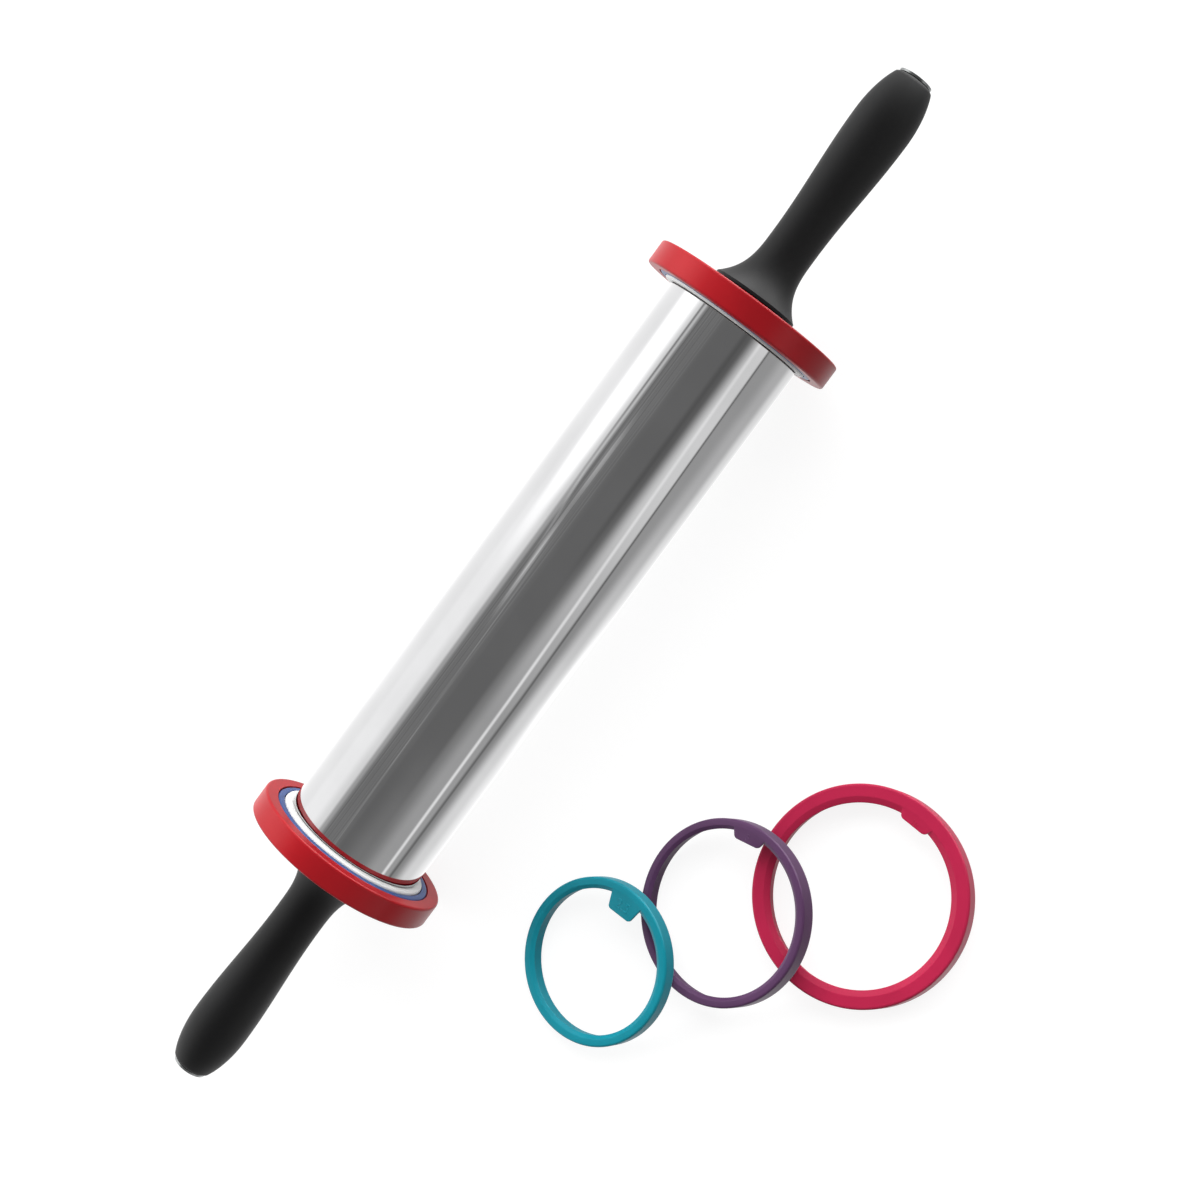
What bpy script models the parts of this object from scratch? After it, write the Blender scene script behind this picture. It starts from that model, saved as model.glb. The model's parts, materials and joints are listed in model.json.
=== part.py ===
# Adjustable rolling pin. A thin polished steel barrel turns on a fixed axle between two soft handles.
# Three nested rings push onto each end of the barrel and set the thickness of the dough, and three more
# rings of the same sizes lie beside the pin, each leaning on the next.
# The pin lies along X. Pieces of one end are drawn with Z pointing outwards along the axle, measured
# from the middle of the pin, and are then turned to face right (+X) or left (-X).
import math

import bmesh
import bpy
from mathutils import Matrix, Vector

MM = 0.001

# Clearances
seat_gap = 0.3 * MM
running_gap = 0.06 * MM
merge_distance = 0.001 * MM
sharp_angle = math.radians(35.0)

# Barrel tube
barrel_radius = 25.0 * MM
barrel_wall = 0.7 * MM
barrel_length = 210.4 * MM
barrel_edge = 0.2 * MM
barrel_steps = 48

# End caps: moulded plugs pressed into the tube, each with a spigot that carries the rings
cap_depth = 20.0 * MM
cap_wall = 3.4 * MM
cap_web = 2.5 * MM
cap_edge = 0.5 * MM
hub_wall = 2.8 * MM
hub_depth = 14.5 * MM
seal_section = 1.7 * MM
seal_depth = 8.0 * MM
seal_points = 6

# Axle, bushings and thrust washers
axle_radius = 4.0 * MM
axle_shoulder_share = 0.37
axle_edge = 0.4 * MM
thread_radius = 2.5 * MM
bushing_wall = 2.0 * MM
bushing_length = 17.0 * MM
bushing_flange_wall = 4.5 * MM
bushing_flange_thickness = 1.5 * MM
washer_width = 3.7 * MM
washer_thickness = 1.0 * MM
small_steps = 20
bore_steps = 28

# Thickness rings: each one rises over the one inside it and overlies its outer face with a thin lip.
# The flat sides of the middle and outer rings are set back from the inner ring's, which meets the tube.
inner_ring_rise = 2.5 * MM
middle_ring_rise = 2.5 * MM
outer_ring_rise = 5.0 * MM
inner_ring_thickness = 5.9 * MM
ring_set_back = 0.7 * MM
ring_lip = 1.3 * MM
inner_lip_reach = 0.6 * MM
middle_lip_reach = 1.2 * MM
outer_lip_reach = 1.3 * MM
ring_edge = 0.7 * MM
shoulder_width_share = 0.33
shoulder_drop_share = 0.65
ring_steps = 36

# Pull tabs: flat plates in the lip's own thickness that point to the middle of the ring
inner_tab_reach = 5.6 * MM
middle_tab_reach = 2.8 * MM
outer_tab_reach = 1.5 * MM
tab_root_width = 13.4 * MM
tab_tip_width = 9.2 * MM
tab_corner = 1.0 * MM
tab_corner_cuts = 2
round_profile = 0.5
tab_inset = 0.1 * MM
tab_root_share = 0.45

# Turn of each fitted ring about the axle, in whole facets, so that the three tabs stand like stairs
inner_tab_turn_steps = 21
middle_tab_turn_steps = 25
outer_tab_turn_steps = 29

# Handle core: a hard stem on the axle, with a hub against the thrust washer and a round flange
flange_stand_off = 0.6 * MM
flange_radius = 14.7 * MM
flange_thickness = 1.0 * MM
flange_edge = 0.3 * MM
core_hub_radius = 10.0 * MM

# Handle grip: a soft sleeve that flares at the flange, narrows to a neck and swells to a belly
grip_length = 84.9 * MM
grip_flare_radius = 15.2 * MM
grip_flare_rim = 0.9 * MM
grip_flare_length = 21.9 * MM
grip_flare_power = 3.4
grip_neck_radius = 8.3 * MM
grip_belly_radius = 10.25 * MM
grip_belly_place_share = 0.797
grip_dome_cut_share = 0.75
grip_mouth_lip = 1.4 * MM
grip_mouth_edge = 0.4 * MM
grip_end_wall = 1.2 * MM
flare_spread_power = 0.5
flare_points = 6
belly_points = 5
dome_points = 5
grip_steps = 28

# End nuts: button-headed nuts whose low polished head covers the mouth of the grip
nut_head_radius_share = 0.89
nut_head_rim = 0.8 * MM
nut_dome_height = 0.7 * MM
nut_shank_wall = 1.0 * MM
nut_shank_length = 10.5 * MM
nut_end_wall = 1.5 * MM
dome_arc_points = 3

# Places of the loose rings on the table, from the middle of the pin
crimson_ring_along = -14.3 * MM
crimson_ring_in_front = 138.9 * MM
purple_spacing_share = 0.668
teal_spacing_share = 0.823
purple_direction = math.radians(136.3)
teal_direction = math.radians(148.7)
crimson_tab_angle = 0.0
purple_tab_angle = math.radians(15.0)
teal_tab_angle = math.radians(6.0)
lean_limit = math.radians(40.0)
lean_halvings = 30
lean_samples = 360

# Worked out from the sizes above: radii
tube_bore = barrel_radius - barrel_wall
spigot_radius = tube_bore - seat_gap
hub_bore = axle_radius + running_gap + bushing_wall + seat_gap
inner_ring_radius = barrel_radius + inner_ring_rise
middle_ring_radius = inner_ring_radius + middle_ring_rise
outer_ring_radius = middle_ring_radius + outer_ring_rise

# Worked out from the sizes above: places outwards from the middle of the pin
tube_end = barrel_length / 2
ring_seat = tube_end + seat_gap
outer_seat = ring_seat + ring_set_back
spigot_end = ring_seat + inner_ring_thickness - ring_lip - seat_gap
middle_ring_thickness = inner_ring_thickness - ring_set_back + seat_gap + ring_lip
outer_ring_thickness = middle_ring_thickness + seat_gap + ring_lip
bushing_end = spigot_end + seat_gap + bushing_flange_thickness
washer_start = bushing_end + seat_gap
core_start = washer_start + washer_thickness + seat_gap
flange_start = outer_seat + outer_ring_thickness + flange_stand_off
flange_end = flange_start + flange_thickness
grip_start = flange_end + seat_gap
grip_end = grip_start + grip_length
grip_belly = grip_start + grip_length * grip_belly_place_share
grip_dome_length = (grip_end - grip_belly) / grip_dome_cut_share
stem_end = grip_end - grip_mouth_lip - seat_gap
axle_shoulder = grip_start + grip_length * axle_shoulder_share
nut_head_start = grip_end + seat_gap
nut_start = nut_head_start - nut_shank_length
nut_shank_radius = thread_radius + seat_gap + nut_shank_wall
nut_bore_end = nut_head_start - nut_end_wall
thread_end = nut_bore_end - seat_gap
half_facet = math.pi / ring_steps


def grip_dome_radius(place):
    # The grip's outer end is part of an ellipse, and its mouth cuts the ellipse short.
    return grip_belly_radius * math.sqrt(1 - ((place - grip_belly) / grip_dome_length) ** 2)


stem_radius = grip_dome_radius(stem_end) - grip_end_wall - seat_gap
nut_head_radius = grip_dome_radius(grip_end) * nut_head_radius_share

# The red rings stand on the table with a facet down, and the origin is on the table, in the middle of
# everything that stands there.
pin_height = outer_ring_radius * math.cos(half_facet)
table_front = -crimson_ring_in_front - outer_ring_radius
table_back = outer_ring_radius * math.cos(half_facet)
pin_offset = -(table_front + table_back) / 2


def clear_scene():
    for old in list(bpy.data.objects):
        bpy.data.objects.remove(old, do_unlink=True)


def new_collection(name):
    collection = bpy.data.collections.new(name)
    bpy.context.scene.collection.children.link(collection)
    return collection


def plain_material(name, colour, roughness, metallic=0.0):
    material = bpy.data.materials.new(name)
    material.use_nodes = True
    shader = material.node_tree.nodes["Principled BSDF"]
    shader.inputs["Base Color"].default_value = (*colour, 1.0)
    shader.inputs["Roughness"].default_value = roughness
    shader.inputs["Metallic"].default_value = metallic
    return material


def add_object(name, mesh, material, parent):
    piece = bpy.data.objects.new(name, mesh)
    parts.objects.link(piece)
    mesh.materials.append(material)
    piece.parent = parent
    return piece


def add_empty(name, location, turn):
    empty = bpy.data.objects.new(name, None)
    parts.objects.link(empty)
    empty.location = location
    empty.rotation_euler = turn
    return empty


def smooth(mesh):
    mesh.shade_smooth()
    mesh.set_sharp_from_angle(angle=sharp_angle)


def evaluated_mesh(piece):
    view = bpy.context.evaluated_depsgraph_get()
    return bpy.data.meshes.new_from_object(piece.evaluated_get(view))


def turned_mesh(name, outline, steps, closed=True):
    # outline: (radius, height) pairs that run down the outer side; a closed one comes back up the bore
    mesh = bpy.data.meshes.new(name)
    shape = bmesh.new()
    points = [shape.verts.new((radius, 0, height)) for radius, height in outline]
    for first, second in zip(points, points[1:]):
        shape.edges.new((first, second))
    if closed:
        shape.edges.new((points[-1], points[0]))
    shape.to_mesh(mesh)
    shape.free()
    guide = bpy.data.objects.new(name + "_guide", mesh)
    guides.objects.link(guide)
    screw = guide.modifiers.new("turn", "SCREW")
    screw.axis = "Z"
    screw.angle = 2 * math.pi
    screw.steps = steps
    screw.render_steps = steps
    screw.use_merge_vertices = True
    screw.merge_threshold = merge_distance
    turned = evaluated_mesh(guide)
    smooth(turned)
    bpy.data.objects.remove(guide)
    return turned


# Barrel

def tube_outline():
    bore_edge = tube_bore + barrel_edge
    rim = barrel_radius - barrel_edge
    shoulder = tube_end - barrel_edge
    return [
        (rim, tube_end),
        (barrel_radius, shoulder),
        (barrel_radius, -shoulder),
        (rim, -tube_end),
        (bore_edge, -tube_end),
        (tube_bore, -shoulder),
        (tube_bore, shoulder),
        (bore_edge, tube_end),
    ]


def cap_outline():
    groove_floor = spigot_radius - seal_section - seat_gap
    groove_top = spigot_end - seal_depth
    groove_bottom = groove_top - seal_section - 2 * seat_gap
    cap_start = spigot_end - cap_depth
    web_inside = spigot_end - cap_web
    cup_radius = spigot_radius - cap_wall
    hub_radius = hub_bore + hub_wall
    hub_start = spigot_end - hub_depth
    return [
        (spigot_radius - cap_edge, spigot_end),
        (spigot_radius, spigot_end - cap_edge),
        (spigot_radius, groove_top),
        (groove_floor, groove_top),
        (groove_floor, groove_bottom),
        (spigot_radius, groove_bottom),
        (spigot_radius, cap_start),
        (cup_radius, cap_start),
        (cup_radius, web_inside),
        (hub_radius, web_inside),
        (hub_radius, hub_start),
        (hub_bore, hub_start),
        (hub_bore, spigot_end),
    ]


def seal_outline():
    middle_radius = spigot_radius - seal_section / 2
    middle_height = spigot_end - seal_depth - seat_gap - seal_section / 2
    points = []
    for index in range(seal_points):
        angle = -2 * math.pi * index / seal_points
        radius = middle_radius + seal_section / 2 * math.cos(angle)
        points.append((radius, middle_height + seal_section / 2 * math.sin(angle)))
    return points


def bushing_outline():
    bore = axle_radius + running_gap
    sleeve = bore + bushing_wall
    flange = bore + bushing_flange_wall
    flange_back = spigot_end + seat_gap
    sleeve_end = spigot_end - bushing_length
    return [
        (flange, bushing_end),
        (flange, flange_back),
        (sleeve, flange_back),
        (sleeve, sleeve_end),
        (bore, sleeve_end),
        (bore, bushing_end),
    ]


def washer_outline():
    bore = axle_radius + seat_gap
    washer_end = washer_start + washer_thickness
    return [
        (bore + washer_width, washer_end),
        (bore + washer_width, washer_start),
        (bore, washer_start),
        (bore, washer_end),
    ]


def axle_outline():
    thread_rim = thread_radius - axle_edge
    thread_side = thread_end - axle_edge
    return [
        (0, thread_end),
        (thread_rim, thread_end),
        (thread_radius, thread_side),
        (thread_radius, axle_shoulder),
        (axle_radius, axle_shoulder),
        (axle_radius, -axle_shoulder),
        (thread_radius, -axle_shoulder),
        (thread_radius, -thread_side),
        (thread_rim, -thread_end),
        (0, -thread_end),
    ]


# Handles

def core_outline():
    axle_bore = axle_radius + seat_gap
    axle_stop = axle_shoulder + seat_gap
    thread_bore = thread_radius + seat_gap
    nut_bore = nut_shank_radius + seat_gap
    nut_stop = nut_start - seat_gap
    return [
        (stem_radius, stem_end),
        (stem_radius, flange_end),
        (flange_radius - flange_edge, flange_end),
        (flange_radius, flange_end - flange_edge),
        (flange_radius, flange_start),
        (core_hub_radius, flange_start),
        (core_hub_radius, core_start),
        (axle_bore, core_start),
        (axle_bore, axle_stop),
        (thread_bore, axle_stop),
        (thread_bore, nut_stop),
        (nut_bore, nut_stop),
        (nut_bore, stem_end),
    ]


def grip_outline():
    neck = grip_start + grip_flare_length
    flare_top = grip_start + grip_flare_rim
    mouth_radius = nut_shank_radius + seat_gap
    bore = stem_radius + seat_gap
    lip_inside = grip_end - grip_mouth_lip
    end_radius = grip_dome_radius(grip_end)
    points = [(end_radius - grip_mouth_edge, grip_end)]
    for index in range(dome_points, 0, -1):
        place = grip_belly + (grip_end - grip_mouth_edge - grip_belly) * index / dome_points
        points.append((grip_dome_radius(place), place))
    for index in range(belly_points, 0, -1):
        share = index / belly_points
        blend = (1 - math.cos(math.pi * share)) / 2
        radius = grip_neck_radius + (grip_belly_radius - grip_neck_radius) * blend
        points.append((radius, neck + share * (grip_belly - neck)))
    for index in range(flare_points + 1):
        share = (index / flare_points) ** flare_spread_power
        blend = share**grip_flare_power
        radius = grip_neck_radius + (grip_flare_radius - grip_neck_radius) * blend
        points.append((radius, neck + share * (flare_top - neck)))
    points.append((grip_flare_radius, grip_start))
    points.append((bore, grip_start))
    points.append((bore, lip_inside))
    points.append((mouth_radius, lip_inside))
    points.append((mouth_radius, grip_end))
    return points


def nut_outline():
    # The head is a low dome: part of a ball that rises over the rim.
    head_end = nut_head_start + nut_head_rim
    ball = (nut_head_radius**2 + nut_dome_height**2) / (2 * nut_dome_height)
    ball_middle = head_end + nut_dome_height - ball
    edge_angle = math.asin(nut_head_radius / ball)
    bore = thread_radius + seat_gap
    points = []
    for index in range(dome_arc_points + 1):
        angle = edge_angle * index / dome_arc_points
        points.append((ball * math.sin(angle), ball_middle + ball * math.cos(angle)))
    points.append((nut_head_radius, nut_head_start))
    points.append((nut_shank_radius, nut_head_start))
    points.append((nut_shank_radius, nut_start))
    points.append((bore, nut_start))
    points.append((bore, nut_bore_end))
    points.append((0, nut_bore_end))
    return points


# Thickness rings

def ring_sizes(radius, seat_radius, thickness, lip_reach, tab_reach):
    # seat_radius: the radius of the spigot or smaller ring that this ring pushes onto
    bore = seat_radius + seat_gap
    return {
        "radius": radius,
        "bore": bore,
        "thickness": thickness,
        "lip_radius": bore - lip_reach,
        "tab_tip": bore - lip_reach - tab_reach,
    }


def ring_outline(ring):
    # The flat side, at height 0, faces the barrel; the lip and its sloping shoulder face the handle.
    top = ring["thickness"]
    shoulder = (ring["radius"] - ring["lip_radius"]) * shoulder_width_share
    drop = ring_lip * shoulder_drop_share
    return [
        (ring["radius"] - ring_edge, top),
        (ring["radius"], top - ring_edge),
        (ring["radius"], ring_edge),
        (ring["radius"] - ring_edge, 0),
        (ring["bore"], 0),
        (ring["bore"], top - ring_lip),
        (ring["lip_radius"], top - ring_lip),
        (ring["lip_radius"], top - drop),
        (ring["lip_radius"] + shoulder, top),
    ]


def tab_mesh(name, ring):
    # A plate with a narrow rounded tip at the inside and its root sunk in the ring's top
    root = ring["lip_radius"] + (ring["radius"] - ring["lip_radius"]) * tab_root_share
    tip = ring["tab_tip"]
    low = ring["thickness"] - ring_lip + tab_inset
    high = ring["thickness"] - tab_inset
    mesh = bpy.data.meshes.new(name)
    shape = bmesh.new()
    bmesh.ops.create_cube(shape, size=1)
    for corner in shape.verts:
        width = tab_root_width if corner.co.x > 0 else tab_tip_width
        place_along = root if corner.co.x > 0 else tip
        place_high = high if corner.co.z > 0 else low
        corner.co = (place_along, corner.co.y * width, place_high)
    tip_edges = []
    for edge in shape.edges:
        first, second = edge.verts
        if first.co.z != second.co.z and first.co.x < (root + tip) / 2:
            tip_edges.append(edge)
    bmesh.ops.bevel(
        shape,
        geom=tip_edges,
        affect="EDGES",
        offset=tab_corner,
        segments=tab_corner_cuts,
        profile=round_profile,
    )
    shape.to_mesh(mesh)
    shape.free()
    return mesh


def ring_mesh(name, ring):
    body = bpy.data.objects.new(name + "_body", turned_mesh(name + "_body", ring_outline(ring), ring_steps))
    tab = bpy.data.objects.new(name + "_tab", tab_mesh(name + "_tab", ring))
    for guide in (body, tab):
        guides.objects.link(guide)
        guide.hide_render = True
        guide.display_type = "WIRE"
    join = body.modifiers.new("tab", "BOOLEAN")
    join.operation = "UNION"
    join.object = tab
    mesh = evaluated_mesh(body)
    mesh.name = name
    smooth(mesh)
    bpy.data.objects.remove(body)
    bpy.data.objects.remove(tab)
    return mesh


# Leaning rings

def circle_points(place, radius, height):
    points = []
    for index in range(lean_samples):
        angle = 2 * math.pi * index / lean_samples
        points.append(place @ Vector((radius * math.cos(angle), radius * math.sin(angle), height)))
    return points


def least_clearance(upper, upper_place, lower, lower_place):
    # The gap between the upper ring's flat side and the lower ring's top, where the two rings cross.
    # Both are planes there, so the least gap lies on an edge circle of one or the other.
    least = upper["radius"]
    upper_width = upper["radius"] - upper["bore"] + seat_gap
    lower_width = lower["radius"] - lower["lip_radius"] + seat_gap
    into_upper = upper_place.inverted()
    into_lower = lower_place.inverted()
    for radius in (lower["radius"], lower["lip_radius"]):
        for point in circle_points(lower_place, radius, lower["thickness"]):
            local = into_upper @ point
            if -seat_gap <= math.hypot(local.x, local.y) - upper["bore"] <= upper_width:
                least = min(least, -local.z)
    for radius in (upper["radius"], upper["bore"]):
        for point in circle_points(upper_place, radius, 0):
            local = into_lower @ point
            if -seat_gap <= math.hypot(local.x, local.y) - lower["lip_radius"] <= lower_width:
                least = min(least, local.z - lower["thickness"])
    return least


def leaning_place(ring, along, across, raised, angle):
    # The ring's low edge stands on the table and the side towards the raised direction is lifted.
    height = (ring["radius"] - ring_edge) * math.sin(angle)
    hinge = Vector((math.sin(raised), -math.cos(raised), 0))
    return Matrix.Translation((along, across, height)) @ Matrix.Rotation(angle, 4, hinge)


def lean(ring, along, across, raised, lower, lower_place):
    flat = 0
    steep = lean_limit
    for _ in range(lean_halvings):
        angle = (flat + steep) / 2
        place = leaning_place(ring, along, across, raised, angle)
        if least_clearance(ring, place, lower, lower_place) < seat_gap:
            flat = angle
        else:
            steep = angle
    return leaning_place(ring, along, across, raised, steep)


def spaced_from(along, across, direction, distance):
    return along + distance * math.cos(direction), across + distance * math.sin(direction)


# Build

clear_scene()
parts = new_collection("adjustable_rolling_pin")
guides = new_collection("guides")

steel = plain_material("polished_steel", (0.80, 0.80, 0.81), 0.06, 1.0)
axle_steel = plain_material("plain_steel", (0.55, 0.55, 0.56), 0.3, 1.0)
cap_plastic = plain_material("dark_plastic", (0.05, 0.05, 0.055), 0.4)
seal_rubber = plain_material("seal_rubber", (0.02, 0.02, 0.02), 0.6)
bushing_plastic = plain_material("bushing_plastic", (0.75, 0.72, 0.64), 0.35)
core_plastic = plain_material("core_plastic", (0.02, 0.02, 0.022), 0.35)
grip_rubber = plain_material("soft_grip", (0.03, 0.03, 0.032), 0.6)
red_plastic = plain_material("red_plastic", (0.55, 0.015, 0.03), 0.35)
blue_plastic = plain_material("blue_plastic", (0.03, 0.05, 0.25), 0.35)
white_plastic = plain_material("white_plastic", (0.85, 0.85, 0.84), 0.35)
teal_plastic = plain_material("teal_plastic", (0.01, 0.22, 0.30), 0.35)
purple_plastic = plain_material("purple_plastic", (0.08, 0.03, 0.10), 0.35)
crimson_plastic = plain_material("crimson_plastic", (0.52, 0.02, 0.08), 0.35)

inner_ring = ring_sizes(
    inner_ring_radius, spigot_radius, inner_ring_thickness, inner_lip_reach, inner_tab_reach
)
middle_ring = ring_sizes(
    middle_ring_radius, inner_ring_radius, middle_ring_thickness, middle_lip_reach, middle_tab_reach
)
outer_ring = ring_sizes(
    outer_ring_radius, middle_ring_radius, outer_ring_thickness, outer_lip_reach, outer_tab_reach
)

right_turn = (0, math.pi / 2, 0)
left_turn = (0, -math.pi / 2, 0)
pin_middle = (0, pin_offset, pin_height)
frame_axis = add_empty("axle_axis", pin_middle, right_turn)
barrel_axis = add_empty("barrel_axis", pin_middle, right_turn)

add_object("barrel_tube", turned_mesh("barrel_tube", tube_outline(), barrel_steps), steel, barrel_axis)
axle_mesh = turned_mesh("axle_rod", axle_outline(), small_steps, closed=False)
add_object("axle_rod", axle_mesh, axle_steel, frame_axis)

fitted_rings = (
    ("inner_ring", inner_ring, ring_seat, inner_tab_turn_steps, white_plastic),
    ("middle_ring", middle_ring, outer_seat, middle_tab_turn_steps, blue_plastic),
    ("outer_ring", outer_ring, outer_seat, outer_tab_turn_steps, red_plastic),
)
end_pieces = (
    ("end_cap", cap_outline(), ring_steps, cap_plastic, True),
    ("cap_seal", seal_outline(), ring_steps, seal_rubber, True),
    ("bushing", bushing_outline(), bore_steps, bushing_plastic, True),
    ("thrust_washer", washer_outline(), small_steps, axle_steel, True),
    ("handle_core", core_outline(), small_steps, core_plastic, True),
    ("handle_grip", grip_outline(), grip_steps, grip_rubber, True),
    ("end_nut", nut_outline(), small_steps, steel, False),
)
for side, turn in (("left", left_turn), ("right", right_turn)):
    side_axis = add_empty(side + "_end_axis", pin_middle, turn)
    for label, outline, steps, material, closed in end_pieces:
        name = side + "_" + label
        add_object(name, turned_mesh(name, outline, steps, closed), material, side_axis)
    for label, ring, seat, turn_steps, material in fitted_rings:
        name = side + "_" + label
        piece = add_object(name, ring_mesh(name, ring), material, side_axis)
        piece.location = (0, 0, seat)
        piece.rotation_euler = (0, 0, (2 * turn_steps + 1) * half_facet)

crimson_across = pin_offset - crimson_ring_in_front
crimson_place = Matrix.Translation((crimson_ring_along, crimson_across, 0))
purple_distance = purple_spacing_share * (outer_ring_radius + middle_ring_radius)
purple_along, purple_across = spaced_from(
    crimson_ring_along, crimson_across, purple_direction, purple_distance
)
purple_place = lean(
    middle_ring, purple_along, purple_across, purple_direction + math.pi, outer_ring, crimson_place
)
teal_distance = teal_spacing_share * (middle_ring_radius + inner_ring_radius)
teal_along, teal_across = spaced_from(purple_along, purple_across, teal_direction, teal_distance)
teal_place = lean(
    inner_ring, teal_along, teal_across, teal_direction + math.pi, middle_ring, purple_place
)
loose_rings = (
    ("loose_crimson_ring", outer_ring, crimson_place, crimson_tab_angle, crimson_plastic),
    ("loose_purple_ring", middle_ring, purple_place, purple_tab_angle, purple_plastic),
    ("loose_teal_ring", inner_ring, teal_place, teal_tab_angle, teal_plastic),
)
for name, ring, place, tab_angle, material in loose_rings:
    piece = add_object(name, ring_mesh(name, ring), material, None)
    piece.matrix_world = place @ Matrix.Rotation(tab_angle, 4, "Z")
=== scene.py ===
import json
import math

import bmesh
import bpy
from mathutils import Matrix, Vector

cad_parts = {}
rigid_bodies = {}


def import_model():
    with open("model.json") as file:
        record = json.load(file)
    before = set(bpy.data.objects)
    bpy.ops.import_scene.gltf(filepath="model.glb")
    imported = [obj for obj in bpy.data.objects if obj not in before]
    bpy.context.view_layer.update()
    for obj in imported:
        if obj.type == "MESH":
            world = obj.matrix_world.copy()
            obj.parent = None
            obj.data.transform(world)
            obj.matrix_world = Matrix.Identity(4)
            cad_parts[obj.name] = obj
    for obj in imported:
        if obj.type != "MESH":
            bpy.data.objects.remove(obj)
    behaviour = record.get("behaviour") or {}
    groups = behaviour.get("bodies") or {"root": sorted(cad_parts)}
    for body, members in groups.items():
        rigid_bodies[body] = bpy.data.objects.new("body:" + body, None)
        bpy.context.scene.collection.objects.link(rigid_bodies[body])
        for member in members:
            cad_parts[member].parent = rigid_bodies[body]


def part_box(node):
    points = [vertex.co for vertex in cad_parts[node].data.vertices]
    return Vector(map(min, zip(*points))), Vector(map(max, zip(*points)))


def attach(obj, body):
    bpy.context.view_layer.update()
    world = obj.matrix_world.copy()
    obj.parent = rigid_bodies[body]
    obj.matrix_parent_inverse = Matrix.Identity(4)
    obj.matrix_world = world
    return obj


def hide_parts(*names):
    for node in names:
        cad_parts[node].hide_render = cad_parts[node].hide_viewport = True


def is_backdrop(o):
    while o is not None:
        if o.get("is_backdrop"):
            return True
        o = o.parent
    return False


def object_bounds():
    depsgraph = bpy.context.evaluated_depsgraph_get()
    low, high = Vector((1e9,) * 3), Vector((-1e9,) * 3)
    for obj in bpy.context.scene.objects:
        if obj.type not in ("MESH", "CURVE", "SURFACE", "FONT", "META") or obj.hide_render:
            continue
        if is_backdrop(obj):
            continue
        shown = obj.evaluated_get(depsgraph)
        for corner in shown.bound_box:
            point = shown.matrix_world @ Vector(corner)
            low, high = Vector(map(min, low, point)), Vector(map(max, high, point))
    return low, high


for default_object in list(bpy.data.objects):
    bpy.data.objects.remove(default_object)

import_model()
cad_low, cad_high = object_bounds()

# Axle rod
# A turned steel rod runs through the whole pin. Its two stepped ends take the end nuts, so it holds both
# handles against the barrel. Lathe lines run round it.

MM = 0.001
pin_middle = (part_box("barrel_tube")[0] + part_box("barrel_tube")[1]) / 2
axle_radius = 4.0
axle_step = 147.913
axle_end = 199.9
thread_radius = 2.5
axle_outline = [
    (0, axle_end, 0),
    (thread_radius, axle_end, 0.4),
    (thread_radius, axle_step, 0.05),
    (axle_radius, axle_step, 0.3),
    (axle_radius, -axle_step, 0.3),
    (thread_radius, -axle_step, 0.05),
    (thread_radius, -axle_end, 0.4),
    (0, -axle_end, 0),
]


class Wire:
    """A value that runs between nodes. Sums that are written on it add their Math nodes."""

    def __init__(self, tree, socket=None):
        self.tree = tree
        self.socket = socket

    def node(self, kind, settings, sockets, output=0):
        """Adds a node: its settings first, then the values or wires of its sockets. Gives one output."""
        made = self.tree.nodes.new(kind)
        for title, value in settings.items():
            setattr(made, title, value)
        for title, value in sockets.items():
            if isinstance(value, Wire):
                self.tree.links.new(value.socket, made.inputs[title])
            else:
                made.inputs[title].default_value = value
        return Wire(self.tree, made.outputs[output])

    def into(self, socket):
        """Ends the sum: its value goes into this socket."""
        self.tree.links.new(self.socket, socket)

    def math(self, operation, first, second=0.0):
        """One Math node, for the signs below and for what has no sign."""
        return self.node("ShaderNodeMath", {"operation": operation}, {0: first, 1: second})

    def __add__(self, other):
        return self.math("ADD", self, other)

    def __radd__(self, other):
        return self.math("ADD", other, self)

    def __sub__(self, other):
        return self.math("SUBTRACT", self, other)

    def __rsub__(self, other):
        return self.math("SUBTRACT", other, self)

    def __mul__(self, other):
        return self.math("MULTIPLY", self, other)

    def __rmul__(self, other):
        return self.math("MULTIPLY", other, self)

    def __truediv__(self, other):
        return self.math("DIVIDE", self, other)

    def __rtruediv__(self, other):
        return self.math("DIVIDE", other, self)

    def step(self, start, end):
        """Goes softly from 0 at start to 1 at end."""
        values = {"Value": self, "From Min": start, "From Max": end}
        return self.node("ShaderNodeMapRange", {"interpolation_type": "SMOOTHSTEP"}, values)

    def line(self, middle, reach):
        """Goes softly from 1 at the middle to 0 at the reach on either side of it."""
        return self.math("ABSOLUTE", self - middle).step(reach, 0)

    def swing(self, amount):
        """Spreads random values about 0.5 evenly about 0, as far apart as the amount says."""
        return (self - 0.5) * amount

    def tint(self, first, second):
        """Goes from the first colour, where this value is 0, to the second, where it is 1."""
        # A Mix node has sockets for each kind of value: 6 and 7 are its colours, and output 2 their mix.
        colours = {0: self, 6: first, 7: second}
        return self.node("ShaderNodeMix", {"data_type": "RGBA"}, colours, 2)

    def stretched(self, factors):
        """A place with each of its three numbers multiplied, which draws a pattern out the other way."""
        return self.node("ShaderNodeVectorMath", {"operation": "MULTIPLY"}, {0: self, 1: factors})

    def noise(self, scale, detail):
        """Soft random values about 0.5, as many to the metre as the scale says."""
        values = {"Vector": self, "Scale": scale, "Detail": detail}
        return self.node("ShaderNodeTexNoise", {}, values, 0)


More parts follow.
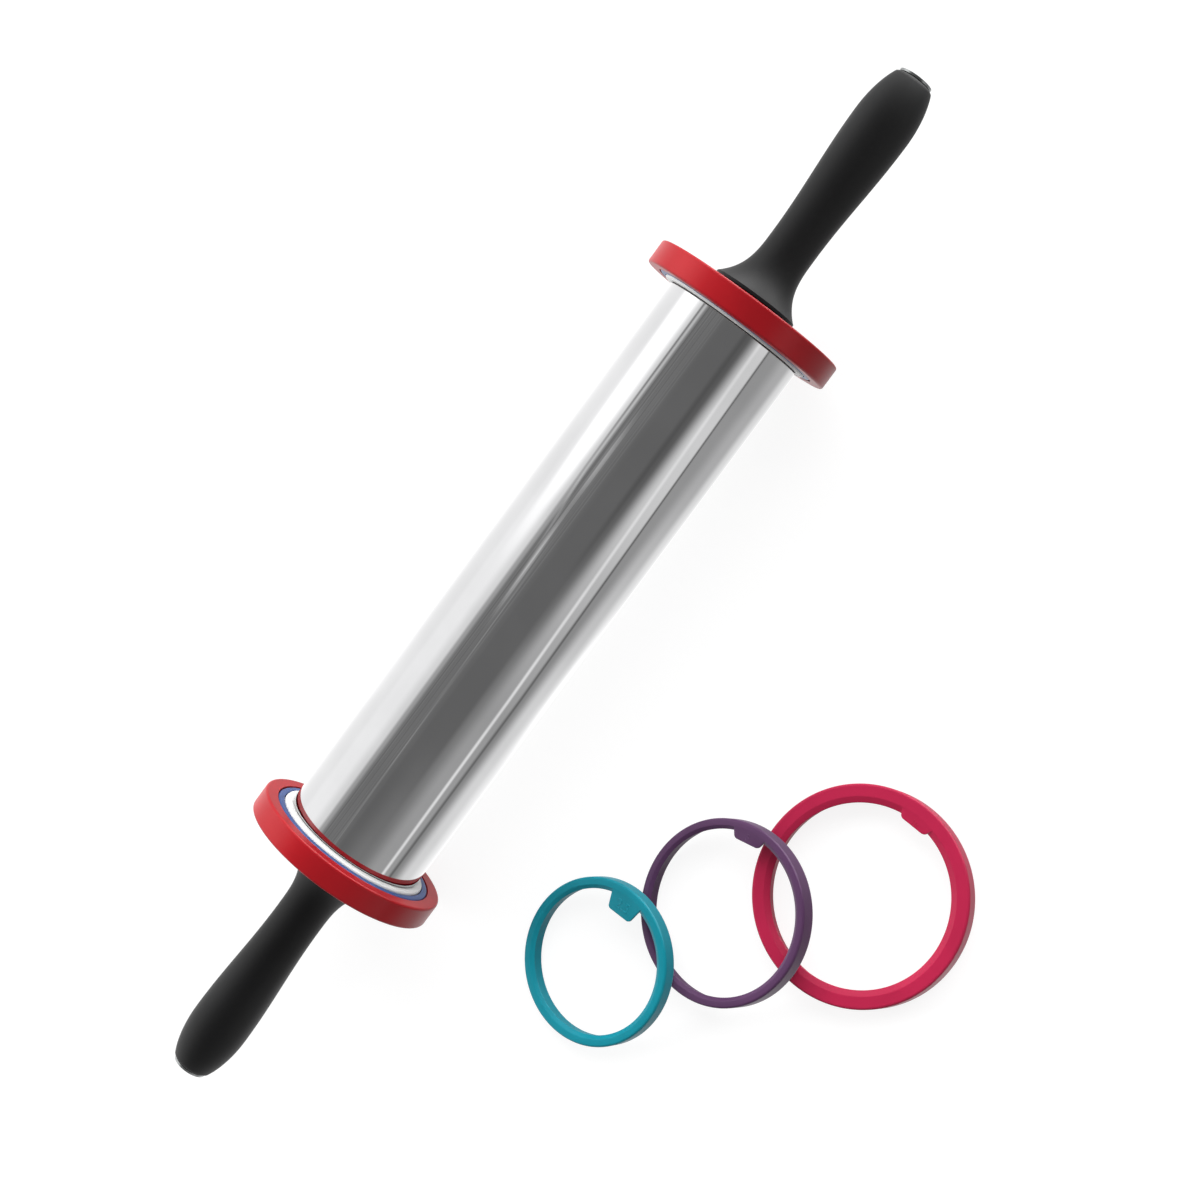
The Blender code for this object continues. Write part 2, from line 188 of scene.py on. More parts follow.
def start_finish(name, roughness, metallic=0.0, sheen=0.0, specular=0.5):
    """A new material, its shader and the place on the object that its patterns read."""
    finish = bpy.data.materials.new(name)
    finish.use_nodes = True
    shader = finish.node_tree.nodes["Principled BSDF"]
    shader.inputs["Roughness"].default_value = roughness
    shader.inputs["Metallic"].default_value = metallic
    shader.inputs["Sheen Weight"].default_value = sheen
    shader.inputs["Specular IOR Level"].default_value = specular
    place = Wire(finish.node_tree).node("ShaderNodeTexCoord", {}, {}, "Object")
    return finish, shader, place


def shade(colour, share):
    """The colour made darker or lighter, with the fourth number that a colour socket takes."""
    return tuple(part * share for part in colour) + (1,)


def raise_grain(shader, height, depth):
    """Lets a pattern stand out of the surface by the depth in millimetres."""
    bump = height.node("ShaderNodeBump", {}, {"Height": height, "Distance": depth * MM}, 0)
    bump.into(shader.inputs["Normal"])


def about_pin(place):
    """How far along the pin a place is, and how far from its axle, in metres."""
    from_middle = place.node("ShaderNodeVectorMath", {"operation": "SUBTRACT"}, {0: place, 1: pin_middle})
    along = from_middle.node("ShaderNodeSeparateXYZ", {}, {0: from_middle}, "X")
    across = from_middle.stretched((0, 1, 1))
    away = across.node("ShaderNodeVectorMath", {"operation": "LENGTH"}, {0: across}, "Value")
    return along, away


def turned_steel(name, colour, roughness, line_spacing, line_depth):
    """Steel from a lathe, with fine lines round the axle and a few dull smudges."""
    finish, shader, place = start_finish(name, roughness, metallic=1.0)
    along, away = about_pin(place)
    across_lines = (along + away) / (line_spacing * MM)
    lines = place.node("ShaderNodeTexNoise", {"noise_dimensions": "1D"}, {"W": across_lines, "Scale": 1.0}, 0)
    smudges = place.noise(90.0, 3.0)
    lines.step(0.3, 0.7).tint(shade(colour, 0.86), shade(colour, 1)).into(shader.inputs["Base Color"])
    (roughness + lines.swing(0.08) + smudges.swing(0.1)).into(shader.inputs["Roughness"])
    raise_grain(shader, lines, line_depth)
    return finish


seam_width = 1e-6


def build_turned_tree():
    """Round pieces: an outline with its corners rounded is carried once round its middle line."""
    tree = bpy.data.node_groups.new("turned_piece", "GeometryNodeTree")
    inputs = {
        "Outline": "NodeSocketGeometry",
        "Steps Round": "NodeSocketInt",
        "Corner Steps": "NodeSocketInt",
        "Guide Radius": "NodeSocketFloat",
        "Finish": "NodeSocketMaterial",
    }
    for title, kind in inputs.items():
        tree.interface.new_socket(title, in_out="INPUT", socket_type=kind)
    tree.interface.new_socket("Piece", in_out="OUTPUT", socket_type="NodeSocketGeometry")
    start = Wire(tree)
    given = {title: start.node("NodeGroupInput", {}, {}, title) for title in inputs}
    rounding = start.node("GeometryNodeInputNamedAttribute", {"data_type": "FLOAT"}, {"Name": "rounding"})
    outline = start.node("GeometryNodeMeshToCurve", {}, {0: given["Outline"]})
    corners = {
        "Curve": outline,
        "Radius": rounding,
        "Limit Radius": True,
        "Count": given["Corner Steps"],
    }
    rounded = start.node("GeometryNodeFilletCurve", {"mode": "POLY"}, corners)
    circle = {"Resolution": given["Steps Round"], "Radius": given["Guide Radius"]}
    guide = start.node("GeometryNodeCurvePrimitiveCircle", {}, circle)
    shell = start.node("GeometryNodeCurveToMesh", {}, {"Curve": guide, "Profile Curve": rounded})
    closed = start.node("GeometryNodeMergeByDistance", {}, {"Geometry": shell, "Distance": seam_width})
    real = start.node("GeometryNodeRealizeInstances", {}, {0: closed})
    coated = start.node("GeometryNodeSetMaterial", {}, {"Geometry": real, "Material": given["Finish"]})
    coated.into(tree.nodes.new("NodeGroupOutput").inputs["Piece"])
    return tree


turned_tree = build_turned_tree()
guide_radius = 10.0
corner_steps = 6
sharp_angle = math.radians(35.0)
rounding_reach = 1.2
flat_clearance = 0.02
doubles_within = 0.0005


def with_flats(outline):
    """Adds a point beside each rounded corner, so that the flat between two corners stays flat."""
    closed = outline[0][0] > 0
    points = []
    for index, corner in enumerate(outline):
        points.append(corner)
        if index == len(outline) - 1 and not closed:
            break
        following = outline[(index + 1) % len(outline)]
        run = Vector(following[:2]) - Vector(corner[:2])
        near, far = (end[2] * rounding_reach + flat_clearance for end in (corner, following))
        if corner[2] > 0 and run.length > 2 * (near + far):
            points.append((*(Vector(corner[:2]) + run.normalized() * near), 0))
        if following[2] > 0 and run.length > 2 * (near + far):
            points.append((*(Vector(following[:2]) - run.normalized() * far), 0))
    return points


def settle(mesh, place):
    """Merges doubles, turns every face outwards, and puts the mesh in its place."""
    shape = bmesh.new()
    shape.from_mesh(mesh)
    bmesh.ops.remove_doubles(shape, verts=shape.verts, dist=doubles_within * MM)
    bmesh.ops.recalc_face_normals(shape, faces=shape.faces)
    shape.to_mesh(mesh)
    shape.free()
    mesh.transform(place)
    mesh.shade_smooth()
    mesh.set_sharp_from_angle(angle=sharp_angle)


def add_piece(name, content):
    """A new object in the scene, made from a mesh, a curve, a lamp or a camera."""
    piece = bpy.data.objects.new(name, content)
    bpy.context.scene.collection.objects.link(piece)
    return piece


def turned(name, outline, place, finish, steps=192):
    """A round piece from corners in millimetres: radius, height and rounding, down the outer side first."""
    points = with_flats(outline)
    closed = outline[0][0] > 0
    mesh = bpy.data.meshes.new(name)
    corners = [((radius - guide_radius) * MM, -height * MM, 0) for radius, height, _ in points]
    edges = [(index, index + 1) for index in range(len(points) - 1)]
    if closed:
        edges.append((len(points) - 1, 0))
    mesh.from_pydata(corners, edges, [])
    rounding = mesh.attributes.new("rounding", "FLOAT", "POINT")
    for record, point in zip(rounding.data, points):
        record.value = point[2] * MM
    piece = add_piece(name, mesh)
    turn = piece.modifiers.new("turn", "NODES")
    turn.node_group = turned_tree
    values = {
        "Steps Round": steps,
        "Corner Steps": corner_steps,
        "Guide Radius": guide_radius * MM,
        "Finish": finish,
    }
    for item in turned_tree.interface.items_tree:
        if item.name in values:
            turn[item.identifier] = values[item.name]
    view = bpy.context.evaluated_depsgraph_get()
    made = bpy.data.meshes.new_from_object(piece.evaluated_get(view))
    piece.modifiers.clear()
    piece.data = made
    made.name = name
    settle(made, place)
    return piece


def fit(piece, node, body, slot):
    """The finished piece stands for a CAD node and moves with its body. The slot is not used."""
    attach(piece, body)
    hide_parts(node)


# Height in an outline is the distance outwards from the middle of the pin.
right_end = Matrix.Translation(pin_middle) @ Matrix.Rotation(math.pi / 2, 4, "Y")
left_end = Matrix.Translation(pin_middle) @ Matrix.Rotation(-math.pi / 2, 4, "Y")
pin_ends = {"left": left_end, "right": right_end}

lathe_grey = (0.56, 0.56, 0.57)
axle_steel = turned_steel("turned_axle_steel", lathe_grey, 0.3, 0.25, 0.004)
axle = turned("steel_axle", axle_outline, right_end, axle_steel, steps=64)
fit(axle, "axle_rod", "axle_and_handles", "plain_steel")

# End caps, seals and bushings
# A moulded plug is pressed into each end of the tube and stands out as a short spigot for the rings. A
# rubber ring in its groove keeps water out, and a flanged acetal sleeve in its hub runs on the axle.

cap_radius = 24.0
cap_bore = 20.6
cap_inner_end = 89.8
cap_outer_end = 109.8
cap_web_face = 107.3
groove_floor = 22.0
groove_inner_end = 99.5
groove_outer_end = 101.8
hub_radius = 9.16
hub_bore = 6.36
hub_inner_end = 95.3
cap_outline = [
    (cap_radius, cap_outer_end, 0.5),
    (cap_radius, groove_outer_end, 0.1),
    (groove_floor, groove_outer_end, 0.1),
    (groove_floor, groove_inner_end, 0.1),
    (cap_radius, groove_inner_end, 0.1),
    (cap_radius, cap_inner_end, 0.3),
    (cap_bore, cap_inner_end, 0.3),
    (cap_bore, cap_web_face, 0.8),
    (hub_radius, cap_web_face, 0.8),
    (hub_radius, hub_inner_end, 0.3),
    (hub_bore, hub_inner_end, 0.3),
    (hub_bore, cap_outer_end, 0.3),
]
seal_cord_radius = 0.85
seal_steps = 20
seal_outline = []
for index in range(seal_steps):
    turn_round = -2 * math.pi * index / seal_steps
    radius = cap_radius - seal_cord_radius + seal_cord_radius * math.cos(turn_round)
    height = (groove_inner_end + groove_outer_end) / 2 + seal_cord_radius * math.sin(turn_round)
    seal_outline.append((radius, height, 0))
sleeve_radius = 6.06
sleeve_bore = 4.06
sleeve_inner_end = 92.8
sleeve_flange_radius = 8.56
sleeve_flange_back = 110.1
sleeve_outer_end = 111.6
bushing_outline = [
    (sleeve_flange_radius, sleeve_outer_end, 0.4),
    (sleeve_flange_radius, sleeve_flange_back, 0.2),
    (sleeve_radius, sleeve_flange_back, 0.1),
    (sleeve_radius, sleeve_inner_end, 0.3),
    (sleeve_bore, sleeve_inner_end, 0.3),
    (sleeve_bore, sleeve_outer_end, 0.3),
]


def moulded(name, colour, roughness, cloud, grain_size, grain_depth, specular=0.5, coat=0.0):
    """Moulded plastic or rubber: faintly clouded colour, a fine grain and slightly uneven gloss."""
    finish, shader, place = start_finish(name, roughness, specular=specular)
    shader.inputs["Coat Weight"].default_value = coat
    shader.inputs["Coat Roughness"].default_value = roughness
    clouds = place.noise(55.0, 3.0).step(0.25, 0.75)
    clouds.tint(shade(colour, 1 - cloud), shade(colour, 1 + cloud)).into(shader.inputs["Base Color"])
    flow = place.noise(160.0, 2.0)
    grain = place.noise(1.0 / (grain_size * MM), 1.0)
    (roughness + flow.swing(0.06) + grain.swing(0.04)).into(shader.inputs["Roughness"])
    raise_grain(shader, grain, grain_depth)
    return finish


cap_plastic = moulded("grey_cap_plastic", (0.05, 0.05, 0.055), 0.5, 0.08, 0.5, 0.01)
seal_rubber = moulded("black_seal_rubber", (0.02, 0.02, 0.02), 0.72, 0.2, 0.3, 0.008)
bushing_acetal = moulded("natural_acetal", (0.75, 0.72, 0.64), 0.38, 0.03, 0.8, 0.004)
for side, place in pin_ends.items():
    cap = turned(side + "_cap_moulding", cap_outline, place, cap_plastic)
    fit(cap, side + "_end_cap", "barrel", "dark_plastic")
    seal = turned(side + "_rubber_seal", seal_outline, place, seal_rubber)
    fit(seal, side + "_cap_seal", "barrel", "seal_rubber")
    bushing = turned(side + "_flanged_sleeve", bushing_outline, place, bushing_acetal, steps=96)
    fit(bushing, side + "_bushing", "barrel", "bushing_plastic")

# Barrel
# A thin stainless tube, polished to a mirror on the outside, with lightly broken edges. It is pressed
# over the end caps and rolls the dough between the rings.

barrel_radius = 25.0
barrel_bore = 24.3
barrel_end = 105.2
broken_edge = 0.2
barrel_outline = [
    (barrel_radius, barrel_end, broken_edge),
    (barrel_radius, -barrel_end, broken_edge),
    (barrel_bore, -barrel_end, broken_edge),
    (barrel_bore, barrel_end, broken_edge),
]


def polished_steel(name, colour, roughness):
    """Mirror steel: faint streaks along the tube from the polishing belt, and a breath of dullness."""
    finish, shader, place = start_finish(name, roughness, metallic=1.0)
    streaks = place.stretched((0.02, 1.0, 1.0)).noise(1400.0, 3.0)
    breath = place.noise(38.0, 4.0)
    breath.step(0.3, 0.7).tint(shade(colour, 1), shade(colour, 0.94)).into(shader.inputs["Base Color"])
    dull = breath.step(0.45, 0.75)
    (roughness + dull * 0.025 + streaks * 0.03).into(shader.inputs["Roughness"])
    raise_grain(shader, streaks, 0.0004)
    return finish


mirror_steel = polished_steel("mirror_barrel_steel", (0.52, 0.52, 0.525), 0.03)
barrel = turned("steel_barrel", barrel_outline, right_end, mirror_steel, steps=320)
fit(barrel, "barrel_tube", "barrel", "polished_steel")

# Thickness rings on the pin
# Satin plastic mouldings, three to each end: white inside, blue over it and red outside. Each pushes on
# with its flat side to the barrel; the side to the handle has a soft shoulder and a pull tab.

ring_shoulder_share = 0.33
ring_shoulder_drop = 0.845
ring_lip = 1.3
inner_seat = 105.5
outer_seat = 106.2
tab_root_share = 0.45
tab_root_width = 13.4
tab_tip_width = 9.2
tab_tip_corner = 1.0
tab_rim_rounding = 0.2
tab_plate = 1.1
tab_sunk = 0.02
number_rise = 0.1
number_sunk = 0.1
number_edge = 0.03
number_share = 0.55
number_least = 1.6
number_largest = 4.6
number_off_middle = 0.35
level_within = 0.001
root_margin = 0.1
pin_ring_coat = 0.6


def ring_outline(radius, bore, lip, thickness):
    """Down the outer side to the flat side, then up the bore, over the lip and the soft shoulder."""
    shoulder = lip + (radius - lip) * ring_shoulder_share
    return [
        (radius, thickness, 0.8),
        (radius, 0, 0.8),
        (bore, 0, 0.15),
        (bore, thickness - ring_lip, 0.1),
        (lip, thickness - ring_lip, 0.15),
        (lip, thickness - ring_shoulder_drop, 0.3),
        (shoulder, thickness, 0.6),
    ]


def tab_mesh(radius, lip, tip, thickness):
    """The pull tab: a plate with its root in the ring's top, a narrower tip and softened edges."""
    root = lip + (radius - lip) * tab_root_share
    top = thickness - tab_sunk
    mesh = bpy.data.meshes.new("tab")
    shape = bmesh.new()
    bmesh.ops.create_cube(shape, size=1)
    for corner in shape.verts:
        width = tab_root_width if corner.co.x > 0 else tab_tip_width
        along = root if corner.co.x > 0 else tip
        height = top if corner.co.z > 0 else top - tab_plate
        corner.co = Vector((along, corner.co.y * width, height)) * MM
    upright = []
    for edge in shape.edges:
        first, second = edge.verts
        if first.co.z != second.co.z and first.co.x < (root + tip) / 2 * MM:
            upright.append(edge)
    bmesh.ops.bevel(shape, geom=upright, affect="EDGES", offset=tab_tip_corner * MM, segments=8, profile=0.5)
    rims = []
    for edge in shape.edges:
        first, second = edge.verts
        level = abs(first.co.z - second.co.z) < level_within * MM
        if level and min(first.co.x, second.co.x) < (root - root_margin) * MM:
            rims.append(edge)
    bmesh.ops.bevel(shape, geom=rims, affect="EDGES", offset=tab_rim_rounding * MM, segments=3, profile=0.5)
    shape.to_mesh(mesh)
    shape.free()
    return mesh


def number_mesh(text, size, middle, thickness):
    """The dough setting in millimetres, in plain raised figures that read from inside the ring."""
    curve = bpy.data.curves.new("number", "FONT")
    curve.body = text
    curve.size = size * MM
    curve.align_x = "CENTER"
    curve.align_y = "CENTER"
    curve.extrude = (number_rise + number_sunk) / 2 * MM
    curve.bevel_depth = number_edge * MM
    curve.resolution_u = 4
    words = add_piece("number", curve)
    view = bpy.context.evaluated_depsgraph_get()
    mesh = bpy.data.meshes.new_from_object(words.evaluated_get(view))
    bpy.data.objects.remove(words)
    middle_height = thickness - tab_sunk + (number_rise - number_sunk) / 2
    on_tab = Matrix.Translation(Vector((middle, 0, middle_height)) * MM)
    settle(mesh, on_tab @ Matrix.Rotation(-math.pi / 2, 4, "Z"))
    return mesh


def thickness_ring(name, sizes, tip, setting, place, finish):
    """One ring: the turned body and its tab made one, then the raised number set on the tab."""
    radius, bore, lip, thickness = sizes
    ring = turned(name, ring_outline(radius, bore, lip, thickness), Matrix.Identity(4), finish)
    tab = add_piece(name + "_tab", tab_mesh(radius, lip, tip, thickness))
    join = ring.modifiers.new("tab", "BOOLEAN")
    join.operation = "UNION"
    join.solver = "EXACT"
    join.object = tab
    view = bpy.context.evaluated_depsgraph_get()
    moulding = bpy.data.meshes.new_from_object(ring.evaluated_get(view))
    ring.modifiers.clear()
    bpy.data.objects.remove(tab)
    number_size = min((lip - tip) * number_share + number_least, number_largest)
    figures = number_mesh(setting, number_size, (tip + lip) / 2 + number_off_middle, thickness)
    shape = bmesh.new()
    shape.from_mesh(moulding)
    shape.from_mesh(figures)
    for face in shape.faces:
        face.material_index = 0
    shape.to_mesh(moulding)
    shape.free()
    moulding.materials.clear()
    moulding.materials.append(finish)
    moulding.transform(place)
    moulding.shade_smooth()
    moulding.set_sharp_from_angle(angle=sharp_angle)
    moulding.name = name
    ring.data = moulding
    return ring


def ring_plastic(name, colour, cloud, coat):
    """Satin plastic that shines by a thin clear coat alone, so its colour stays full at a low angle."""
    return moulded(name, colour, 0.3, cloud, 0.6, 0.004, specular=0.0, coat=coat)


# Each size: radius, bore, lip and thickness. On the pin the red ring is as high as its CAD solid, which
# stands on the table with a facet down.
inner_sizes = (27.5, 24.3, 23.7, 5.9)
middle_sizes = (30.0, 27.8, 26.6, 6.8)
outer_sizes = (35.0, 30.3, 29.0, 8.4)
red_low, red_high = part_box("right_outer_ring")
fitted_red_sizes = ((red_high.z - red_low.z) / 2 / MM, *outer_sizes[1:])
inner_tip = 18.1
middle_tip = 23.8
outer_tip = 27.5
white_plastic = ring_plastic("white_ring_plastic", (0.84, 0.84, 0.83), 0.02, pin_ring_coat)
blue_plastic = ring_plastic("blue_ring_plastic", (0.038, 0.078, 0.24), 0.07, pin_ring_coat)
red_plastic = ring_plastic("red_ring_plastic", (0.42, 0.006, 0.012), 0.06, pin_ring_coat)
# Each ring: colour, place in the nest, seat, sizes, tab tip, dough setting, turn of the tab and plastic
pin_rings = (
    ("white", "inner", inner_seat, inner_sizes, inner_tip, "2.5", 215, white_plastic),
    ("blue", "middle", outer_seat, middle_sizes, middle_tip, "5", 255, blue_plastic),
    ("red", "outer", outer_seat, fitted_red_sizes, outer_tip, "10", 295, red_plastic),
)
# The barrel in the photograph mirrors no blue line, so the blue rings are left out of reflections.
for side, place in pin_ends.items():
    for colour, size, seat, sizes, tip, setting, angle, finish in pin_rings:
        seated = place @ Matrix.Translation((0, 0, seat * MM))
        tab_turned = seated @ Matrix.Rotation(math.radians(angle), 4, "Z")
        name = side + "_" + colour + "_ring"
        ring = thickness_ring(name, sizes, tip, setting, tab_turned, finish)
        ring.visible_glossy = colour != "blue"
        fit(ring, side + "_" + size + "_ring", side + "_" + size, colour + "_plastic")

# Handles
# A steel washer keeps each handle off the turning barrel. A hard black core with a round flange is held
# on the axle by a button-headed nut, and a soft charcoal grip is moulded over it, flared at the barrel.

washer_radius = 8.0
washer_inner_end = 111.9
washer_outer_end = 112.9
slip_gap = 0.3
axle_hole = axle_radius + slip_gap
washer_outline = [
    (washer_radius, washer_outer_end, 0.2),
    (washer_radius, washer_inner_end, 0.2),
    (axle_hole, washer_inner_end, 0.15),
    (axle_hole, washer_outer_end, 0.15),
]
grip_start = 116.24
grip_end = 201.4
flare_top = 117.4
grip_neck = 138.4
grip_belly = 184.1653
flare_radius = 15.2
neck_radius = 8.3
belly_radius = 10.25
flare_power = 3.4
dome_length = 22.9796


def dome_radius(place):
    """The grip's outer end is part of an ellipse, cut short by its mouth."""
    return belly_radius * math.sqrt(1 - ((place - grip_belly) / dome_length) ** 2)


stem_end = 199.7
grip_wall = 1.5
stem_radius = dome_radius(stem_end) - grip_wall
core_hub_radius = 10.0
core_hub_face = 113.2
core_flange_radius = 14.7
core_flange_face = 115.2
core_flange_back = 116.2
core_step = axle_step + slip_gap
thread_hole = thread_radius + slip_gap
nut_shank_radius = 3.8
nut_hole = nut_shank_radius + slip_gap
nut_shank_end = 191.2
nut_seat = nut_shank_end - slip_gap
core_outline = [
    (stem_radius, stem_end, 0.3),
    (stem_radius, core_flange_back, 0.1),
    (core_flange_radius, core_flange_back, 0.2),
    (core_flange_radius, core_flange_face, 0.3),
    (core_hub_radius, core_flange_face, 0.3),
    (core_hub_radius, core_hub_face, 0.6),
    (axle_hole, core_hub_face, 0.3),
    (axle_hole, core_step, 0.1),
    (thread_hole, core_step, 0.1),
    (thread_hole, nut_seat, 0.1),
    (nut_hole, nut_seat, 0.1),
    (nut_hole, stem_end, 0.2),
]
grip_steps = 24
flare_crowding = 0.6
mouth_rim = 0.4
mouth_depth = 1.4
mouth_floor = grip_end - mouth_depth
grip_lining = stem_radius + slip_gap
grip_outline = [(dome_radius(grip_end) - mouth_rim, grip_end, 0)]
for index in range(grip_steps, 0, -1):
    along = grip_belly + (grip_end - mouth_rim - grip_belly) * index / grip_steps
    grip_outline.append((dome_radius(along), along, 0))
for index in range(grip_steps, 0, -1):
    share = index / grip_steps
    swell = (1 - math.cos(math.pi * share)) / 2
    along = grip_neck + share * (grip_belly - grip_neck)
    grip_outline.append((neck_radius + (belly_radius - neck_radius) * swell, along, 0))
for index in range(grip_steps + 1):
    share = (index / grip_steps) ** flare_crowding
    along = grip_neck + share * (flare_top - grip_neck)
    grip_outline.append((neck_radius + (flare_radius - neck_radius) * share**flare_power, along, 0))
grip_outline += [
    (flare_radius, grip_start, 0.35),
    (grip_lining, grip_start, 0.2),
    (grip_lining, mouth_floor, 0.1),
    (nut_hole, mouth_floor, 0.1),
    (nut_hole, grip_end, 0.2),
]
nut_share = 0.89
nut_radius = dome_radius(grip_end) * nut_share
nut_head_back = grip_end + slip_gap
nut_thread_end = axle_end + slip_gap
nut_rim = 202.5
nut_dome = 0.699
nut_steps = 16
ball_radius = (nut_radius**2 + nut_dome**2) / (2 * nut_dome)
nut_outline = []
for index in range(nut_steps + 1):
    lean = math.asin(nut_radius / ball_radius) * index / nut_steps
    height = nut_rim + nut_dome - ball_radius + ball_radius * math.cos(lean)
    nut_outline.append((ball_radius * math.sin(lean), height, 0))
nut_outline += [
    (nut_radius, nut_head_back, 0.15),
    (nut_shank_radius, nut_head_back, 0.1),
    (nut_shank_radius, nut_shank_end, 0.3),
    (thread_hole, nut_shank_end, 0.1),
    (thread_hole, nut_thread_end, 0.1),
    (0, nut_thread_end, 0),
]


def soft_touch(name, colour):
    """Soft-touch rubber: matte, with a fine even grain and a few shinier places where hands rub."""
    roughness = 0.56
    finish, shader, place = start_finish(name, roughness, sheen=0.03, specular=0.28)
    shader.inputs["Sheen Roughness"].default_value = 0.4
    clouds = place.noise(45.0, 3.0).step(0.3, 0.7)
    clouds.tint(shade(colour, 0.88), shade(colour, 1.14)).into(shader.inputs["Base Color"])
    rubbed = place.noise(28.0, 2.0).step(0.4, 0.75)
    grain = place.noise(2600.0, 1.0)
    (roughness + 0.02 - rubbed * 0.07 + grain * 0.05).into(shader.inputs["Roughness"])
    raise_grain(shader, grain, 0.012)
    return finish


washer_steel = turned_steel("turned_washer_steel", lathe_grey, 0.28, 0.15, 0.003)
core_plastic = moulded("black_core_plastic", (0.02, 0.02, 0.022), 0.36, 0.1, 0.5, 0.004)
grip_rubber = soft_touch("charcoal_soft_touch", (0.004, 0.004, 0.0043))
nut_steel = turned_steel("polished_nut_steel", (0.35, 0.36, 0.36), 0.24, 0.12, 0.0002)
for side, place in pin_ends.items():
    washer = turned(side + "_steel_washer", washer_outline, place, washer_steel, steps=96)
    fit(washer, side + "_thrust_washer", "axle_and_handles", "plain_steel")
    core = turned(side + "_core_moulding", core_outline, place, core_plastic, steps=128)
    fit(core, side + "_handle_core", "axle_and_handles", "core_plastic")
    grip = turned(side + "_soft_grip", grip_outline, place, grip_rubber)
    fit(grip, side + "_handle_grip", "axle_and_handles", "soft_grip")
    nut = turned(side + "_domed_nut", nut_outline, place, nut_steel, steps=96)
    fit(nut, side + "_end_nut", "axle_and_handles", "nut_steel")

# Loose rings
# A second set from the same moulds in other colours, laid out in front of the pin: the crimson one flat
# on the table, the purple one leaning on it and the teal one leaning on the purple one. The photograph's
# barrel doesn't mirror them, so they are left out of reflections.

loose_ring_coat = 0.45
teal_plastic = ring_plastic("teal_ring_plastic", (0.006, 0.27, 0.35), 0.06, loose_ring_coat)
purple_plastic = ring_plastic("purple_ring_plastic", (0.1, 0.042, 0.11), 0.07, loose_ring_coat)
crimson_plastic = ring_plastic("crimson_ring_plastic", (0.48, 0.017, 0.068), 0.06, loose_ring_coat)
crimson_low, crimson_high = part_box("loose_crimson_ring")
crimson_place = (*((crimson_low + crimson_high) / 2 / MM).xy, 0)
purple_place = (-45.6912, -39.3852, 5.5338)
teal_place = (-86.1264, -14.8003, 4.7347)
# The last three numbers: how far it leans, which way is uphill, and the turn of its tab, in degrees
loose_rings = (
    ("crimson", outer_sizes, outer_tip, "10", crimson_place, crimson_plastic, 0, 0, 0),
    ("purple", middle_sizes, middle_tip, "5", purple_place, purple_plastic, 10.8867, 316.3, 15),
    ("teal", inner_sizes, inner_tip, "2.5", teal_place, teal_plastic, 10.1758, 328.7, 6),
)
for colour, sizes, tip, setting, middle, finish, *angles in loose_rings:
    lean, uphill, tab_turn = (math.radians(angle) for angle in angles)
    hinge = Vector((math.sin(uphill), -math.cos(uphill), 0))
    place = Matrix.Translation(Vector(middle) * MM) @ Matrix.Rotation(lean, 4, hinge)
    place = place @ Matrix.Rotation(tab_turn, 4, "Z")
    ring = thickness_ring("loose_" + colour + "_moulding", sizes, tip, setting, place, finish)
    ring.visible_glossy = False
    fit(ring, "loose_" + colour + "_ring", "axle_and_handles", colour + "_plastic")

# Table and light
# The pin lies on a plain white table in a plain white studio, between a broad lamp to the right and a
# smaller one at the back left. The barrel mirrors a dim ceiling, a bright back and the table's grey edge.

white = (1, 1, 1, 1)
table_grey = (0.22, 0.22, 0.22, 1)
table_reach = 3.0
table_height = -0.00005
table_glow = 0.86
table_corners = []
for x, y in ((-1, -1), (1, -1), (1, 1), (-1, 1)):
    table_corners.append((x * table_reach, y * table_reach, table_height))
table_mesh = bpy.data.meshes.new("table_top")
table_mesh.from_pydata(table_corners, [], [(0, 1, 2, 3)])
table_top = add_piece("table_top", table_mesh)
table_white = bpy.data.materials.new("white_table")
table_white.use_nodes = True
table_white.node_tree.nodes.clear()


def direct_view(wire):
    """1 for what the camera sees itself or through something clear, 0 for light and reflections."""
    camera_ray = wire.node("ShaderNodeLightPath", {}, {}, "Is Camera Ray")
    through_ray = wire.node("ShaderNodeLightPath", {}, {}, "Is Transmission Ray")
    return wire.math("MINIMUM", camera_ray + through_ray, 1.0)


wire = Wire(table_white.node_tree)
shine = wire.node("ShaderNodeEmission", {}, {"Color": white, "Strength": table_glow * direct_view(wire)})
matte = wire.node("ShaderNodeBsdfDiffuse", {}, {"Color": table_grey})
both = wire.node("ShaderNodeAddShader", {}, {0: shine, 1: matte})
both.into(wire.tree.nodes.new("ShaderNodeOutputMaterial").inputs["Surface"])
table_mesh.materials.append(table_white)
table_top.visible_glossy = False
table_top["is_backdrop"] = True

# Each lamp: name, strength, width in degrees, and the direction in which it stands
lamps = (
    ("right_lamp", 3.6, 80.0, (0.82, 0.3, 0.48)),
    ("back_lamp", 2.0, 40.0, (-0.3, 0.85, 0.42)),
)
for name, energy, spread, direction in lamps:
    lamp = bpy.data.lights.new(name, "SUN")
    lamp.energy = energy
    lamp.angle = math.radians(spread)
    lamp_object = add_piece(name, lamp)
    lamp_object.rotation_euler = Vector(direction).to_track_quat("Z", "Y").to_euler()
    lamp_object.visible_glossy = False

fill_light = 0.3
mirrored_light = 1.9
far_lamp_light = 6.5
studio = bpy.data.worlds.new("studio")
bpy.context.scene.world = studio
studio.use_nodes = True
studio.node_tree.nodes.clear()
wire = Wire(studio.node_tree)
# Along is how far a direction points along the pin, from -1 to the left to 1 to the right.
towards = wire.node("ShaderNodeTexCoord", {}, {}, "Generated")
along = wire.node("ShaderNodeSeparateXYZ", {}, {0: towards}, "X")
forward = wire.node("ShaderNodeSeparateXYZ", {}, {0: towards}, "Y") * -1
upward = wire.node("ShaderNodeSeparateXYZ", {}, {0: towards}, "Z")
